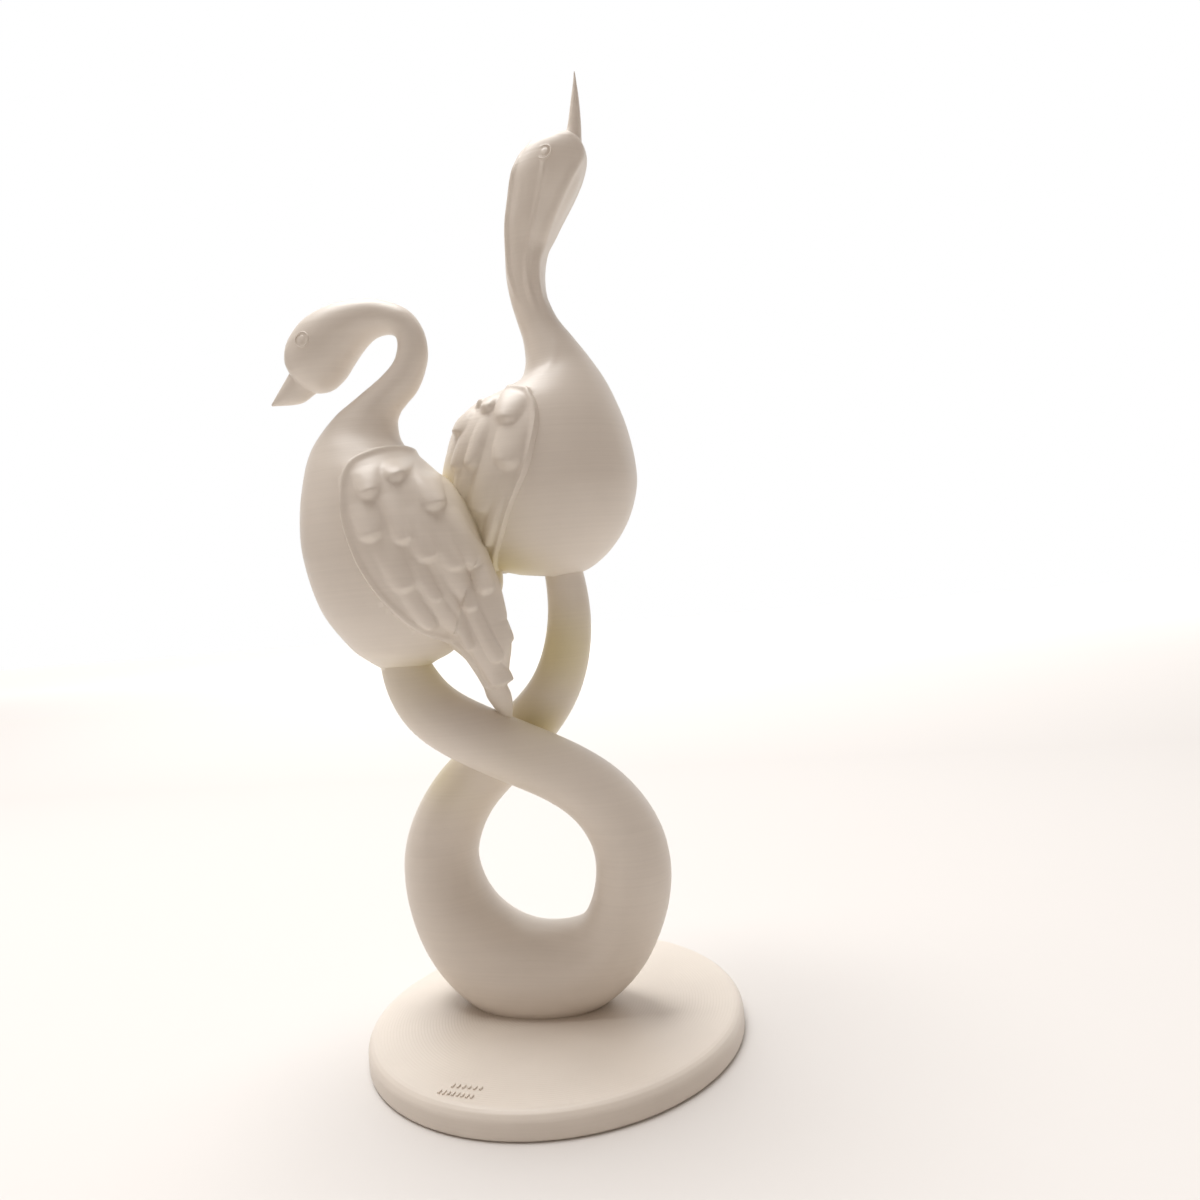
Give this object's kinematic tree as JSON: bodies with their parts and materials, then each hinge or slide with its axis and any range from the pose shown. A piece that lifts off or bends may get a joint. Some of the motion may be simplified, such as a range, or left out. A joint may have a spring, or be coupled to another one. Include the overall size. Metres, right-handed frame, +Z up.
{
  "type": "lovebirds statue",
  "caption": "Slender printed statue of two swans back to back on one looped, tapering stem with a round base.",
  "frame": {"origin": "middle of the round base's flat underside", "axes": "+Z up, +X towards the side of the taller swan, -Y towards the front, the side that the picture shows"},
  "size_m": [0.085, 0.076, 0.1961],
  "materials": {
    "printed_plastic": "warm ivory PLA as printed, fine level layer lines, soft satin, slightly translucent"
  },
  "bodies": {
    "root": {"lovebirds_statue": "printed_plastic"}
  },
  "joints": []
}
